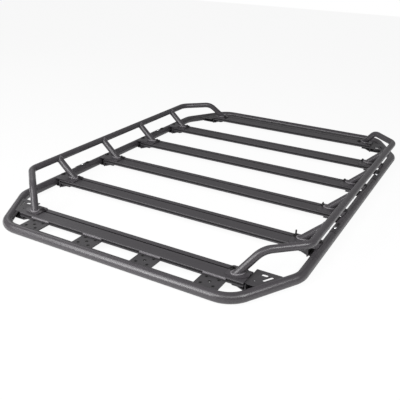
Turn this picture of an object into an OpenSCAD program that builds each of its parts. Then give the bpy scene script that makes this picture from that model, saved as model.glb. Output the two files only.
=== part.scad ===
// Flat platform roof rack: slatted deck in a bent tube ring, with a raised side rail on each side
// All sizes in millimetres, +Z up, +Y to the front, origin under the middle of the ring

/* [Ring] */
// Overall length of the ring, from the outside of one end tube to the other
ring_l = 1923; // [1200:1:2600]
// Overall width of the ring, outside to outside
ring_w = 1285; // [900:1:1600]
// Outside diameter of the ring tube
tube_d = 38; // [25:0.5:50]
// Width of a slanted corner, from the side tube's middle line to where the end tube turns
corner_w = 139.5; // [80:0.5:220]
// Length of a slanted corner, from the end tube's middle line to where the side tube turns
corner_l = 247.5; // [160:0.5:360]
// Bend radius of the ring tube, on its middle line
bend_r = 100; // [60:5:160]

/* [Slats] */
// Width of each slat, front to back
slat_w = 82; // [50:1:120]
// Height of the wide upper part of a slat
slat_h = 17; // [12:0.5:30]
// Height of the narrow keel under a slat
keel_h = 7; // [4:0.5:15]
// Width of the narrow keel under a slat
keel_w = 44; // [30:1:70]
// Distance from the middle line of an end tube to the middle of its end slat
end_slat_in = 127; // [80:1:180]
// How much longer the first and last bay are than the inner bays
end_bay_more = 15; // [0:1:60]
// Drop from the top of the ring tube to the top of the slats
slat_drop = 0.5; // [0:0.5:5]
// Reach of each end slat past the point where the end tube turns
end_slat_more = 2; // [-20:1:12]
// Gap left between the end of an inner slat and the side tube
slat_gap = 22; // [5:1:60]
// Distance of the top slot from the middle of a slat
slot_off = 16.5; // [8:0.5:26]
// Extra width of the nut channel behind a slot, on each side
channel_more = 4; // [2:0.5:6]
// Height of the nut channel behind a slot
channel_h = 6; // [4:0.5:8]
// Width of the top and bottom slots
slot_w = 8; // [5:0.5:12]
// Thickness of the skin of a slat
skin = 2.2; // [1.5:0.1:4]
// Depth of the groove along each side of a slat
groove_depth = 5; // [2:0.5:8]
// Height of the groove along each side of a slat
groove_h = 6; // [3:0.5:8]
// Drop from the top of a slat to the groove along its side
groove_down = 4.5; // [3:0.5:7]

/* [End plates] */
// Drop from the top of the slats to the top of the end plates
plate_drop = 11.5; // [2:0.5:20]
// Thickness of the end plates
plate_t = 5; // [2:0.5:8]
// Width of each tab between two windows
tab_w = 88; // [40:1:140]
// Distance from the outermost tab to where the bend of the end tube starts
tab_inset = 0.6; // [0.2:0.1:40]
// Width of the strip left between the windows and the end tube
strip_w = 9; // [4:0.5:20]
// Spacing of the four small holes in a tab, across the rack
tab_hole_x = 46; // [20:1:60]
// Spacing of the four small holes in a tab, along the rack
tab_hole_y = 42; // [20:1:50]
// Diameter of the small holes
small_hole_d = 6.6; // [3:0.2:10]
// Diameter of the larger hole in the middle of a tab
tab_hole_d = 9.5; // [6:0.5:20]

/* [Corner plates] */
// Drop from the top of the slats to the top of the corner plates
corner_drop = 4.5; // [0:0.5:12]
// Thickness of the corner plates
corner_t = 3; // [2:0.5:8]
// Reach of a corner plate from the middle of its end slat, inward along the rack
corner_in = 70.5; // [50:0.5:90]
// Reach of a corner plate from the middle of its end slat, outward along the rack
corner_out = 29.5; // [10:0.5:60]
// Length of the oval hole in a corner plate
oval_l = 23; // [12:1:40]
// Width of the oval hole in a corner plate
oval_w = 14; // [6:0.5:18]
// Length of the slot in a corner plate
corner_slot_l = 44; // [20:1:60]
// Width of the slot in a corner plate
corner_slot_w = 11; // [5:0.5:14]
// Distance of the oval hole from the end of the end slat, across the rack
oval_x = 39; // [25:1:50]
// Distance of the middle of the slot from the oval hole, across the rack
oval_to_slot_x = 18; // [10:1:24]
// Distance of the small hole from the end of the end slat, across the rack
small_hole_x = 22; // [12:1:26]
// Distance of the oval hole from the plate's inner edge, along the rack
oval_in = 23; // [15:1:45]
// Distance of the middle of the slot from the oval hole, along the rack
oval_to_slot = 17; // [12:1:24]
// Distance of the small hole from the plate's outer edge, along the rack
small_hole_in = 30; // [15:1:45]

/* [Side rails] */
// Outside diameter of the rail tube
rail_d = 29; // [20:0.5:40]
// Height of the rail middle line above the slats
rail_rise = 79.5; // [40:1:150]
// Offset of the rail middle line outward from the side tube's
rail_out = 5; // [0:0.5:10]
// Distance from where a rail turns in to where the side tube turns
rail_short = 59; // [20:1:120]
// Distance from the end of the end slat to where a rail turns down, across the rack
rail_turn_out = 20; // [0:1:40]
// Distance from the middle of the end slat to where a rail turns down, along the rack
rail_turn_in = 59.5; // [30:0.5:100]
// Level distance from where a rail turns down to the middle of its foot on the end slat
rail_leg_run = 83; // [40:1:120]
// Bend radius where a rail turns in at its corner
rail_bend_r = 66; // [40:1:120]
// Bend radius where a rail turns down to its foot
rail_drop_r = 80; // [40:1:120]
// Size of the foot plate under each rail end, across the rack
rail_pad_l = 76; // [50:1:100]
// Size of the foot plate under each rail end, along the rack
rail_pad_w = 65; // [40:1:80]
// Offset of a rail foot plate from the middle of the end slat, inward along the rack
rail_pad_off = 7; // [0:1:12]
// Corner radius of the inboard end of a rail foot plate
pad_r = 8; // [3:1:25]
// Thickness of the foot plates under rail ends and posts
pad_t = 4.5; // [2:0.5:10]

/* [Posts] */
// Outside diameter of the leaning posts
post_d = 29; // [15:0.5:30]
// Distance from the side tube's middle line to the foot of a post
post_lean = 80; // [50:0.5:110]
// Offset of a post from the middle of its slat, along the rack
post_off = 13; // [-20:1:20]
// Length of a post's foot plate, across the rack
post_pad_l = 110.5; // [90:0.5:150]
// Width of a post's foot plate along the rack
post_pad_w = 74; // [30:1:80]
// Offset of a post's foot plate from the middle of its slat, along the rack
post_pad_off = 1; // [-4:0.5:4]
// Corner radius of a post's foot plate
post_pad_r = 6; // [2:0.5:12]
// Distance from the outboard end of a post's foot plate to the side tube's middle line
post_pad_gap = 5; // [0:1:30]
// Distance of the two screw holes from the ends of a post's foot plate
post_hole_in = 9; // [8:1:40]

/* [Brackets] */
// Width of the bracket under each slat end, along the rack
saddle_w = 58; // [30:1:82]
// Thickness of the bracket plate
saddle_t = 4.5; // [2:0.5:8]
// Reach of the bracket under the slat, inward from the slat's end
saddle_in = 46; // [20:1:80]
// Distance from the slat's end to the lower fold of the bracket
fold_low = 3; // [1:0.5:12]
// Distance from the slat's end to the upper fold of the bracket
fold_high = 26; // [18:1:40]
// Thickness of the two cheeks that close the sides of the bracket
cheek_t = 3; // [2:0.5:4]
// Length of the clip on the side tube, along the rack
clip_l = 62; // [30:1:120]
// Thickness of the clip
clip_t = 2; // [1:0.5:5]
// Width of the clip across the tube
clip_w = 27; // [15:1:34]

/* [Hidden] */
$fn = 64;
// between bends a tube is a hair thinner, and each bend laps it by a small angle
thin = 0.1;
lap = 0.5;
tube_r = tube_d / 2;
rail_r = rail_d / 2;
post_r = post_d / 2;
side_x = ring_w / 2 - tube_r;
end_y = ring_l / 2 - tube_r;
end_half = side_x - corner_w;
side_half = end_y - corner_l;
slat_top = tube_d - slat_drop;
slat_low = slat_top - slat_h;
rail_z = slat_top + rail_rise;
plate_top = slat_top - plate_drop;
corner_top = slat_top - corner_drop;
end_slat_y = end_y - end_slat_in;
slat_pitch = 2 * (end_slat_y - end_bay_more) / 5;
slat_y = [-end_slat_y, -slat_pitch * 1.5, -slat_pitch / 2,
          slat_pitch / 2, slat_pitch * 1.5, end_slat_y];
slat_end_x = side_x - tube_r - slat_gap;
end_slat_half = end_half + end_slat_more;
clip_y = slat_pitch;

// corner of the ring: turn from the end tube to the slant, and from the slant to the side tube
slant_dx = side_x - end_half;
slant_dy = end_y - side_half;
slant_len = sqrt(slant_dx * slant_dx + slant_dy * slant_dy);
slant_a = atan2(slant_dy, slant_dx);
turn_end = slant_a;
turn_side = 90 - slant_a;
tan_end = bend_r * tan(turn_end / 2);
tan_side = bend_r * tan(turn_side / 2);
tab_pitch = (2 * (end_half - tan_end - tab_inset) - tab_w) / 3;

// plate that fills each corner beside the end slat
corner_in_y = end_slat_y - corner_in;
corner_out_y = end_slat_y + corner_out;

// rail end: direction of the level slanted part and of the leg that drops to the foot
rail_x = side_x + rail_out;
rail_run_y = side_half - rail_short;
rail_turn_x = end_slat_half + rail_turn_out;
rail_turn_y = end_slat_y - rail_turn_in;
rs_dx = rail_x - rail_turn_x;
rs_dy = rail_turn_y - rail_run_y;
rs_len = sqrt(rs_dx * rs_dx + rs_dy * rs_dy);
rs_a = atan2(rs_dx, rs_dy);
rail_tan = rail_bend_r * tan(rs_a / 2);
rs_u = [-rs_dx / rs_len, rs_dy / rs_len, 0];
rs_phi = 90 + rs_a;
leg_top = [rail_turn_x, rail_turn_y, rail_z];
drop_a = atan2(rail_rise - pad_t, rail_leg_run);
drop_tan = rail_drop_r * tan(drop_a / 2);
rail_pad_x = end_slat_half + 1 - rail_pad_l / 2;

// leaning post: its foot and the two ends of its foot plate
post_foot_x = side_x - post_lean;
post_pad_out = side_x - post_pad_gap;
post_pad_in = post_pad_out - post_pad_l;

steel = [0.17, 0.17, 0.18];
deck = [0.20, 0.20, 0.21];
dark = [0.09, 0.09, 0.10];

// copy the front right quarter to the quarter given by the two signs
module quarter(sx, sy) {
    mirror([sx < 0 ? 1 : 0, 0, 0])
    mirror([0, sy < 0 ? 1 : 0, 0])
    children();
}

// round bar from one point to another
module bar(a, b, r) {
    v = b - a;
    n = norm(v);
    translate(a)
    rotate([0, acos(v[2] / n), atan2(v[1], v[0])])
    cylinder(r = r, h = n);
}

// bend in the level plane: centre, radius, start angle and sweep
module level_bend(c, rad, r, start, sweep) {
    translate(c)
    rotate([0, 0, start])
    rotate_extrude(angle = sweep)
    translate([rad, 0])
    circle(r = r);
}

module end_tube_at(sy) {
    translate([0, sy * end_y, tube_r])
    rotate([0, 90, 0])
    cylinder(r = tube_r, h = 2 * (end_half - tan_end), center = true);
}

module side_tube_at(sx) {
    translate([sx * side_x, 0, tube_r])
    rotate([90, 0, 0])
    cylinder(r = tube_r, h = 2 * (side_half - tan_side), center = true);
}

// one bent corner of the ring, as the front right one
module corner_tube() {
    ca = [end_half - tan_end, end_y - bend_r, tube_r];
    cb = [side_x - bend_r, side_half - tan_side, tube_r];
    a = [end_half + cos(slant_a) * tan_end, end_y - sin(slant_a) * tan_end, tube_r];
    b = [side_x - cos(slant_a) * tan_side, side_half + sin(slant_a) * tan_side, tube_r];
    union() {
        level_bend(ca, bend_r, tube_r, 90 - turn_end - lap, turn_end + lap);
        bar(a, b, tube_r - thin);
        level_bend(cb, bend_r, tube_r, 0, turn_side + lap);
    }
}

// space taken by the ring near the front right corner, for plates that end on it
module ring_cut() {
    ext = 60;
    u = [cos(slant_a), -sin(slant_a), 0];
    p = [end_half, end_y, tube_r];
    bar(p - ext * u, p + (slant_len + ext) * u, tube_r - thin);
}

// cross section of a slat: x along the rack, y up, top middle at the origin
module slat_section() {
    h = slat_w / 2;
    k = keel_w / 2;
    g1 = -groove_down;
    g2 = g1 - groove_h;
    t_in = slot_w / 2 + channel_more;
    roof = -skin - channel_h;
    base = -slat_h - keel_h;
    difference() {
        polygon([[-h + 1, 0], [h - 1, 0], [h, -1], [h, g1], [h - groove_depth, g1],
                 [h - groove_depth, g2], [h, g2], [h, -slat_h + 1], [h - 1, -slat_h],
                 [k, -slat_h], [k, -slat_h - keel_h + 1], [k - 1, -slat_h - keel_h],
                 [-k + 1, -slat_h - keel_h], [-k, -slat_h - keel_h + 1], [-k, -slat_h],
                 [-h + 1, -slat_h], [-h, -slat_h + 1], [-h, g2], [-h + groove_depth, g2],
                 [-h + groove_depth, g1], [-h, g1], [-h, -1]]);
        // top slot: narrow mouth over a wider channel for nuts
        polygon([[slot_off - slot_w / 2, 1], [slot_off - slot_w / 2, -skin],
                 [slot_off - t_in, -skin], [slot_off - t_in, roof],
                 [slot_off + t_in, roof], [slot_off + t_in, -skin],
                 [slot_off + slot_w / 2, -skin], [slot_off + slot_w / 2, 1]]);
        // bottom slot in the keel
        polygon([[-slot_w / 2, base - 1], [-slot_w / 2, base + skin],
                 [-t_in, base + skin], [-t_in, base + skin + channel_h],
                 [t_in, base + skin + channel_h], [t_in, base + skin],
                 [slot_w / 2, base + skin], [slot_w / 2, base - 1]]);
        // hollow chambers on both sides of the top slot
        translate([-h + groove_depth + skin, -slat_h + skin])
        square([h - groove_depth - skin + slot_off - t_in - skin, slat_h - 2 * skin - groove_down + 1.3]);
        translate([slot_off + t_in + skin, -slat_h + skin])
        square([h - groove_depth - skin - slot_off - t_in - skin, slat_h - 2 * skin]);
    }
}

module slat_body(y, half) {
    translate([-half, y, slat_top])
    rotate([90, 0, 90])
    linear_extrude(height = 2 * half)
    slat_section();
}

// end plate between the end tube and the end slat, as the front one
module end_plate() {
    y0 = end_slat_y + slat_w / 2;
    y1 = end_y - tube_r - strip_w + 2;
    half = tab_pitch * 1.5 + tab_w / 2;
    yc = (y0 + y1) / 2;
    below = plate_top - plate_t - 1;
    difference() {
        translate([0, 0, plate_top - plate_t])
        linear_extrude(height = plate_t)
        difference() {
            polygon([[-half, y0], [half, y0], [half, end_y], [-half, end_y]]);
            for (i = [-1, 0, 1])
                translate([i * tab_pitch - (tab_pitch - tab_w) / 2, y0 - 1])
                square([tab_pitch - tab_w, y1 - y0 + 1]);
        }
        end_tube_at(1);
        for (i = [-1.5, -0.5, 0.5, 1.5]) {
            for (sx = [-1, 1])
                for (sy = [-1, 1])
                    translate([i * tab_pitch + sx * tab_hole_x / 2, yc + sy * tab_hole_y / 2, below])
                    cylinder(d = small_hole_d, h = plate_t + 2);
            translate([i * tab_pitch, yc, below])
            cylinder(d = tab_hole_d, h = plate_t + 2);
        }
    }
}

// long hole through a plate, from one end to the other, with round ends
module long_hole(c, l, d, a) {
    translate([c[0], c[1], corner_top - corner_t - 1])
    rotate([0, 0, a]) {
        translate([-(l - d) / 2, 0, 0])
        cylinder(d = d, h = corner_t + 2);
        translate([(l - d) / 2, 0, 0])
        cylinder(d = d, h = corner_t + 2);
        translate([-(l - d) / 2, -d / 2, 0])
        cube([l - d, d, corner_t + 2]);
    }
}

// corner plate between the end of the end slat and the slanted tube, as the front right one
module corner_plate() {
    u = [cos(slant_a), -sin(slant_a)];
    xa = end_half + (end_y - corner_in_y) / tan(slant_a);
    xb = end_half + (end_y - corner_out_y) / tan(slant_a);
    difference() {
        translate([0, 0, corner_top - corner_t])
        linear_extrude(height = corner_t)
        polygon([[end_slat_half, corner_in_y], [xa, corner_in_y], [xb, corner_out_y],
                 [end_slat_half, corner_out_y]]);
        ring_cut();
        long_hole([end_slat_half + oval_x, corner_in_y + oval_in], oval_l, oval_w, 0);
        long_hole([end_slat_half + oval_x + oval_to_slot_x, corner_in_y + oval_in + oval_to_slot],
                  corner_slot_l, corner_slot_w, -slant_a);
        translate([end_slat_half + small_hole_x, corner_out_y - small_hole_in, corner_top - corner_t - 1])
        cylinder(d = small_hole_d, h = corner_t + 2);
    }
}

module rail_run(sx) {
    h = 2 * (rail_run_y - rail_tan);
    translate([sx * rail_x, 0, rail_z])
    rotate([90, 0, 0])
    cylinder(r = rail_r, h = h, center = true);
}

// flat plate with round corners, its underside middle at the origin
module round_plate(l, w, r, t) {
    union() {
        translate([-l / 2 + r, -w / 2, 0])
        cube([l - 2 * r, w, t]);
        translate([-l / 2, -w / 2 + r, 0])
        cube([l, w - 2 * r, t]);
        for (sx = [-1, 1])
            for (sy = [-1, 1])
                translate([sx * (l / 2 - r), sy * (w / 2 - r), 0])
                cylinder(r = r, h = t);
    }
}

// foot plate of a rail end: square end inboard, half round end outboard, round corners of radius r
module foot_plate(l, w, r, t) {
    union() {
        translate([-l / 2 + r, -w / 2, 0])
        cube([l - r - w / 2, w, t]);
        translate([-l / 2, -w / 2 + r, 0])
        cube([l / 2, w - 2 * r, t]);
        for (sy = [-1, 1])
            translate([-l / 2 + r, sy * (w / 2 - r), 0])
            cylinder(r = r, h = t);
        translate([l / 2 - w / 2, 0, 0])
        cylinder(r = w / 2, h = t);
    }
}

// rail end, as the front right one, seen from the point where it turns down:
// x along its level slanted part, towards the foot
module rail_end() {
    run = rs_len - rail_tan;
    translate(leg_top)
    rotate([0, 0, rs_phi])
    union() {
        translate([-run, rail_bend_r, 0])
        rotate([0, 0, -90 - rs_a])
        rotate_extrude(angle = rs_a + lap)
        translate([rail_bend_r, 0])
        circle(r = rail_r);
        translate([-run, 0, 0])
        rotate([0, 90, 0])
        cylinder(r = rail_r - thin, h = run - drop_tan);
        translate([-drop_tan, 0, -rail_drop_r])
        rotate([90, 0, 0])
        rotate([0, 0, 90 - drop_a - lap])
        rotate_extrude(angle = drop_a + 2 * lap)
        translate([rail_drop_r, 0])
        circle(r = rail_r);
        difference() {
            translate([cos(drop_a) * drop_tan, 0, -sin(drop_a) * drop_tan])
            rotate([0, 90 + drop_a, 0])
            cylinder(r = rail_r - thin, h = (rail_rise - pad_t) / sin(drop_a) - drop_tan + rail_r * 2);
            translate([0, -2 * rail_d, -rail_rise + pad_t / 2 - 2 * rail_d])
            cube([rail_leg_run + 4 * rail_d, 4 * rail_d, 2 * rail_d]);
        }
        rotate([0, 0, -rs_phi])
        translate([rail_pad_x - rail_turn_x, end_slat_y - rail_pad_off - rail_turn_y, -rail_rise])
        foot_plate(rail_pad_l, rail_pad_w, pad_r, pad_t);
    }
}

// leaning post with its foot plate, as the one on the right side
module post(y) {
    foot = [post_foot_x, y + post_off, slat_top + pad_t / 2];
    head = [rail_x, y + post_off, rail_z];
    v = (foot - head) / norm(foot - head);
    difference() {
        union() {
            difference() {
                bar(foot + v * post_d, head, post_r);
                translate([post_foot_x - 2 * post_d, y - 2 * post_d, slat_top + 1 - 2 * post_d])
                cube([4 * post_d, 4 * post_d, 2 * post_d]);
            }
            translate([post_pad_in + post_pad_l / 2, y + post_pad_off, slat_top])
            round_plate(post_pad_l, post_pad_w, post_pad_r, pad_t);
        }
        translate([rail_x, 0, rail_z])
        rotate([90, 0, 0])
        cylinder(r = rail_r, h = ring_l, center = true);
        for (x = [post_pad_in + post_hole_in, post_pad_out - post_hole_in])
            translate([x, y + slot_off, slat_top - 1])
            cylinder(d = small_hole_d, h = pad_t + 2);
    }
}

// section of the folded bracket under a slat end: x outward from the slat's end
module saddle_section(out) {
    k = slat_low - keel_h;
    t = saddle_t;
    polygon([[out, 0], [-fold_low, 0], [-fold_high, k - t], [-saddle_in, k - t], [-saddle_in, k],
             [-fold_high + t / 2, k], [-fold_low + t / 2, t], [out, t]]);
}

// side of a cheek: it fills the space between the folded plate and the underside of the slat
module cheek_section() {
    k = slat_low - keel_h;
    polygon([[saddle_t, 1], [-fold_low, 1], [-fold_high, k - saddle_t / 2],
             [-saddle_in, k - saddle_t / 2], [-saddle_in + keel_h, slat_low], [saddle_t, slat_low]]);
}

// folded bracket from an inner slat end to the side tube, as on the right side
module saddle(y) {
    out = side_x - slat_end_x - tube_r / 2;
    difference() {
        union() {
            translate([slat_end_x, y + saddle_w / 2, 0])
            rotate([90, 0, 0])
            linear_extrude(height = saddle_w)
            saddle_section(out);
            translate([slat_end_x, y - slat_w / 2 + 1, 1])
            cube([saddle_t, slat_w - 2, slat_top - 3]);
            for (edge = [y - saddle_w / 2 + cheek_t, y + saddle_w / 2])
                translate([slat_end_x, edge, 0])
                rotate([90, 0, 0])
                linear_extrude(height = cheek_t)
                cheek_section();
        }
        side_tube_at(1);
    }
}

// folded bracket from the end slat to the slanted tube, as the front right one
module corner_saddle() {
    y0 = end_slat_y - saddle_w / 2;
    out = 2 * corner_in;
    back = tube_r / 2 + 0.5;
    xa = end_half + (end_y - y0) / tan(slant_a) - back;
    xb = end_half + (end_y - y0 - saddle_w) / tan(slant_a) - back;
    difference() {
        union() {
            intersection() {
                translate([end_slat_half, y0 + saddle_w, 0])
                rotate([90, 0, 0])
                linear_extrude(height = saddle_w)
                saddle_section(out);
                translate([0, 0, -1])
                linear_extrude(height = tube_d)
                polygon([[end_slat_half - 2 * saddle_in, y0 - 1], [xa, y0], [xb, y0 + saddle_w],
                         [end_slat_half - 2 * saddle_in, y0 + saddle_w + 1]]);
            }
            translate([end_slat_half, end_slat_y - slat_w / 2 + 1, 1])
            cube([saddle_t, corner_out_y - end_slat_y + slat_w / 2 - 2, corner_top - corner_t - 1]);
        }
        ring_cut();
    }
}

// clip that hugs the top of the side tube, as on the right side
module clip() {
    difference() {
        translate([side_x, clip_y, tube_r])
        rotate([90, 0, 0])
        cylinder(r = tube_r + clip_t, h = clip_l, center = true);
        side_tube_at(1);
        translate([side_x - 2 * tube_r, clip_y - clip_l, -tube_r])
        cube([2 * tube_r - clip_w / 2, 2 * clip_l, 4 * tube_r]);
        translate([side_x + clip_w / 2, clip_y - clip_l, -tube_r])
        cube([2 * tube_r, 2 * clip_l, 4 * tube_r]);
        translate([side_x - 2 * tube_r, clip_y - clip_l, -2 * tube_r])
        cube([4 * tube_r, 2 * clip_l, 3 * tube_r]);
    }
}

module rear_tube() {
    color(steel) end_tube_at(-1);
}

module front_tube() {
    color(steel) end_tube_at(1);
}

module left_tube() {
    color(steel) side_tube_at(-1);
}

module right_tube() {
    color(steel) side_tube_at(1);
}

module rear_left_corner_tube() {
    color(steel) quarter(-1, -1) corner_tube();
}

module rear_right_corner_tube() {
    color(steel) quarter(1, -1) corner_tube();
}

module front_left_corner_tube() {
    color(steel) quarter(-1, 1) corner_tube();
}

module front_right_corner_tube() {
    color(steel) quarter(1, 1) corner_tube();
}

module rear_slat() {
    color(deck) slat_body(slat_y[0], end_slat_half);
}

module slat_b() {
    color(deck) slat_body(slat_y[1], slat_end_x);
}

module slat_c() {
    color(deck) slat_body(slat_y[2], slat_end_x);
}

module slat_d() {
    color(deck) slat_body(slat_y[3], slat_end_x);
}

module slat_e() {
    color(deck) slat_body(slat_y[4], slat_end_x);
}

module front_slat() {
    color(deck) slat_body(slat_y[5], end_slat_half);
}

module rear_end_plate() {
    color(deck) quarter(1, -1) end_plate();
}

module front_end_plate() {
    color(deck) end_plate();
}

module rear_left_corner_plate() {
    color(deck) quarter(-1, -1) corner_plate();
}

module rear_right_corner_plate() {
    color(deck) quarter(1, -1) corner_plate();
}

module front_left_corner_plate() {
    color(deck) quarter(-1, 1) corner_plate();
}

module front_right_corner_plate() {
    color(deck) corner_plate();
}

module left_rail_run() {
    color(steel) rail_run(-1);
}

module right_rail_run() {
    color(steel) rail_run(1);
}

module left_rail_rear_end() {
    color(steel) quarter(-1, -1) rail_end();
}

module left_rail_front_end() {
    color(steel) quarter(-1, 1) rail_end();
}

module right_rail_rear_end() {
    color(steel) quarter(1, -1) rail_end();
}

module right_rail_front_end() {
    color(steel) rail_end();
}

module left_post_b() {
    color(steel) quarter(-1, 1) post(slat_y[1]);
}

module left_post_c() {
    color(steel) quarter(-1, 1) post(slat_y[2]);
}

module left_post_d() {
    color(steel) quarter(-1, 1) post(slat_y[3]);
}

module left_post_e() {
    color(steel) quarter(-1, 1) post(slat_y[4]);
}

module right_post_b() {
    color(steel) post(slat_y[1]);
}

module right_post_c() {
    color(steel) post(slat_y[2]);
}

module right_post_d() {
    color(steel) post(slat_y[3]);
}

module right_post_e() {
    color(steel) post(slat_y[4]);
}

module saddles() {
    for (i = [1, 2, 3, 4])
        saddle(slat_y[i]);
    corner_saddle();
    mirror([0, 1, 0])
    corner_saddle();
}

module left_saddles() {
    color(dark) quarter(-1, 1) saddles();
}

module right_saddles() {
    color(dark) saddles();
}

module clips() {
    clip();
    translate([0, -2 * clip_y, 0])
    clip();
}

module left_clips() {
    color(dark) quarter(-1, 1) clips();
}

module right_clips() {
    color(dark) clips();
}

rear_tube();
front_tube();
left_tube();
right_tube();
rear_left_corner_tube();
rear_right_corner_tube();
front_left_corner_tube();
front_right_corner_tube();
rear_slat();
slat_b();
slat_c();
slat_d();
slat_e();
front_slat();
rear_end_plate();
front_end_plate();
rear_left_corner_plate();
rear_right_corner_plate();
front_left_corner_plate();
front_right_corner_plate();
left_rail_run();
right_rail_run();
left_rail_rear_end();
left_rail_front_end();
right_rail_rear_end();
right_rail_front_end();
left_post_b();
left_post_c();
left_post_d();
left_post_e();
right_post_b();
right_post_c();
right_post_d();
right_post_e();
left_saddles();
right_saddles();
left_clips();
right_clips();
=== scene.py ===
# %% [markdown]
# # A flat platform roof rack, dressed for rendering
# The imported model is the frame: its tubes, slats, plates and brackets are exact, and they stay where they
# are. This lesson gives them powder-coated finishes, adds the weld beads and small fasteners that hold the
# real rack together, and photographs it in a plain white studio. Lengths are in metres unless a name ends
# in _mm.

# %% Load the frame
import math

import bpy
import numpy as np
from mathutils import Matrix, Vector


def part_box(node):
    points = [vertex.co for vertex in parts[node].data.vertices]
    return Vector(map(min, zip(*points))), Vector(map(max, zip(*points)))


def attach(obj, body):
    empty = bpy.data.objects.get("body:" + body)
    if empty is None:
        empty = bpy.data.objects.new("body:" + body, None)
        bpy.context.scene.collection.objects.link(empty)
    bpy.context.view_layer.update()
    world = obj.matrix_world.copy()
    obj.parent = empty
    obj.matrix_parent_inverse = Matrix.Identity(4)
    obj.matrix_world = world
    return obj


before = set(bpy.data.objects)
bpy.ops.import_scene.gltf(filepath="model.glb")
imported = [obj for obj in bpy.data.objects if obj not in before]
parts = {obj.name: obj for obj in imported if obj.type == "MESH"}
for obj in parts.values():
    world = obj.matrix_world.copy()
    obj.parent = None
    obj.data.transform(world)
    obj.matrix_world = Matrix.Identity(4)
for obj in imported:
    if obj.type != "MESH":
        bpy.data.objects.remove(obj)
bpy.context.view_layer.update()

print("loaded", len(parts), "parts")

# %% [markdown]
# ## Places
# Everything that is added has to sit on the rack, so its places are read from the parts' own boxes instead
# of being typed in. A box holds the lowest and highest corner of one part, and a few boxes are enough: the
# tubes, the rail, the slats, one end plate, one post and one clip. Only what a box can't tell, such as how
# far a post leans, is written out here.

# %% Places read from the parts
mm = 0.001


def corners(name):
    """Lowest and highest corner of a part, as arrays in metres."""
    low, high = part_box(name)
    return np.array(low), np.array(high)


def middle(name):
    """Middle of a part's box."""
    low, high = corners(name)
    return (low + high) / 2


def reach(name):
    """Half the size of a part's box."""
    low, high = corners(name)
    return (high - low) / 2


side_x = middle("right_tube")[0]
ring_radius = reach("right_tube")[2]
end_y = middle("front_tube")[1]
rail_x, _, rail_z = middle("right_rail_run")
rail_radius = reach("right_rail_run")[2]
inner_slats = ("slat_b", "slat_c", "slat_d", "slat_e")
slat_y = np.array([middle(name)[1] for name in inner_slats])
slat_half = reach("slat_b")[1]
slat_end = corners("slat_b")[1][0]
slat_top = corners("slat_b")[1][2]
end_slat_y = middle("front_slat")[1]
end_slat_end = corners("front_slat")[1][0]
tab_low, tab_top = corners("front_end_plate")[0][2], corners("front_end_plate")[1][2]
clip_top = corners("right_clips")[1][2]
pad_in = corners("right_post_b")[0][0]
print("side tube at x", round(side_x, 4), "radius", round(ring_radius, 4), "slats at y", slat_y.round(4))

# %% [markdown]
# The foot plates lie on the slats. A post stands a little forward of its slat's middle and leans out to the
# rail, and the slot in a slat's top is forward of the middle too. A rail's leg is given by where its middle
# line meets its foot plate, which way it heads on the level, and how far it runs on the level as it falls.

# %% Places that the boxes can't tell
pad_thick = 4.5 * mm
pad_top = slat_top + pad_thick
post_lean = 80 * mm
post_shift = 13 * mm
slot_shift = 16.5 * mm
leg_level = np.array([-0.7143, 0.6998, 0.0])
leg_foot = np.array([446.7, 814.0]) * mm
leg_run = 83 * mm
tab_width = 88 * mm
tab_pitch = 253.982 * mm
tab_middle_y = 886.5 * mm
tab_x = tab_pitch * (np.arange(4) - 1.5)
hole_off_x, hole_off_y = 23 * mm, 21 * mm
groove_down, groove_tall = 4.5 * mm, 6 * mm

# %% [markdown]
# ## Camera
# The camera stands to the right of the rack's rear end and looks down along it. Its place and lens were
# worked out from straight edges of the rack, which gives a position and three angles. A matrix is built
# from the three directions of the camera's own axes, because that leaves no doubt about the order of the
# angles.

# %% Camera
image_px = 400
sensor_mm = 36.0
focal_px = 568.26879
camera_at = (1.09661787, -2.28793793, 1.02577212)
yaw, pitch, roll = 0.49731033, -0.42475, 0.03173729


def camera_axes(yaw, pitch, roll):
    """The camera's right, up and back directions: turn by yaw, tilt by pitch, then roll about the view."""
    forward = np.array([-math.sin(yaw) * math.cos(pitch), math.cos(yaw) * math.cos(pitch), math.sin(pitch)])
    level = np.array([math.cos(yaw), math.sin(yaw), 0.0])
    upright = np.cross(level, forward)
    right = math.cos(roll) * level + math.sin(roll) * upright
    up = -math.sin(roll) * level + math.cos(roll) * upright
    return right, up, -forward


def placed_matrix(right, up, back, at):
    """Matrix of an object at a point, with its x, y and z along the three directions."""
    matrix = np.eye(4)
    matrix[:3, :3] = np.column_stack((right, up, back))
    matrix[:3, 3] = at
    return Matrix(matrix.tolist())


studio = bpy.context.scene
camera = bpy.data.objects.new("camera", bpy.data.cameras.new("camera"))
studio.collection.objects.link(camera)
camera.data.sensor_width = sensor_mm
camera.data.lens = sensor_mm * focal_px / image_px
camera.matrix_world = placed_matrix(*camera_axes(yaw, pitch, roll), camera_at)
studio.camera = camera
print("lens", round(camera.data.lens, 2), "mm")

# %% [markdown]
# ## Studio
# The rack is photographed on white. Light on a dark coat comes mostly as reflections, and a surround that
# was as bright in the gloss as it is to the camera would wash out the form of the tubes. So the surround is
# white to the camera, dimmer in the gloss, and nearly dark where it would light the rack. Light Path tells
# these rays apart. The floor is matte and pale; for the camera most of it glows white, and the rest keeps
# the shadow under the rack.

# %% White surround and floor
plain_white = (1.0, 1.0, 1.0, 1.0)
floor_colour = (0.95, 0.95, 0.95, 1.0)
white_share = 0.93
gloss_share = 0.35
world_light = 0.05


def put(tree, kind, place, inputs=None, **settings):
    """Add one node at a place in the tree. Each input is given a value, or the socket that feeds it."""
    node = tree.nodes.new(kind)
    node.location = place
    for key, value in settings.items():
        setattr(node, key, value)
    for key, value in (inputs or {}).items():
        if isinstance(value, bpy.types.NodeSocket):
            tree.links.new(value, node.inputs[key])
        else:
            node.inputs[key].default_value = value
    return node


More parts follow.
